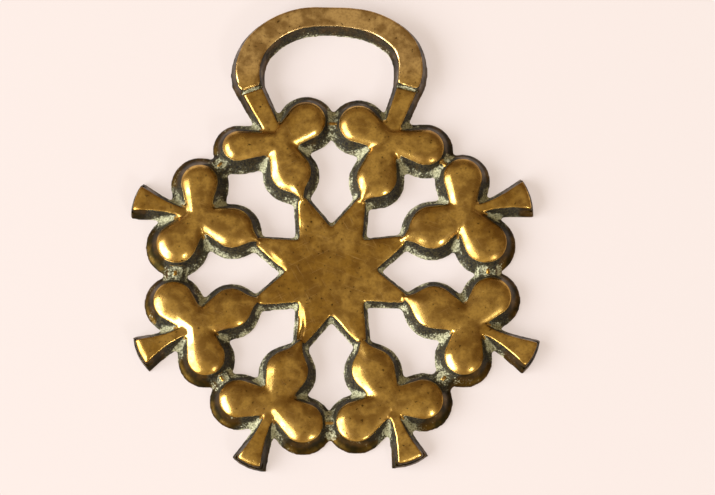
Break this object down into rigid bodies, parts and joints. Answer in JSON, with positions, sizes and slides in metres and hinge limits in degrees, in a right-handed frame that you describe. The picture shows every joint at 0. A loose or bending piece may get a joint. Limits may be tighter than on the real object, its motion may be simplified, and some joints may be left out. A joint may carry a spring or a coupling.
{
  "type": "horse brass",
  "caption": "Flat cast brass harness pendant with a pointed star in an openwork ring of club-shaped trefoils, and a strap loop at the top.",
  "frame": {"origin": "centre of the star on the flat back", "axes": "+Z out of the face, +Y from the star's centre to the strap loop, +X to the right as seen from the face"},
  "size_m": [0.082, 0.0966, 0.0047],
  "materials": {
    "worn_brass": "polished on the raised faces, dark and green with age in the hollows"
  },
  "bodies": {
    "root": {"brass_casting": "worn_brass"}
  },
  "joints": []
}
